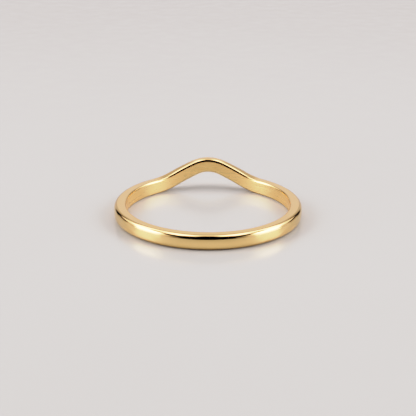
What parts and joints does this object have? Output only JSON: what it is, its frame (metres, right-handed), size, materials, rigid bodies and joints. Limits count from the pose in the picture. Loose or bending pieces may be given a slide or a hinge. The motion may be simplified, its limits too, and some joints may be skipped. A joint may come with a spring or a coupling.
{
  "type": "curved wedding band",
  "caption": "Slim plain gold ring with a flat inside and a low-domed outside, whose band lifts in a soft chevron on one side so that it sits snugly against another ring.",
  "frame": {"origin": "on the ring's axis, at the height of the surface that the ring lies on", "axes": "+Z along the ring's axis, up from the surface it lies on; the tip of the arch points to +Z at the back, towards +Y; the plain shank is in front, towards -Y; +X to the right seen from the front"},
  "size_m": [0.02, 0.02, 0.0034],
  "materials": {
    "gold": "polished yellow gold, mirror outside, slightly satin inside"
  },
  "bodies": {
    "root": {"band": "gold"}
  },
  "joints": []
}
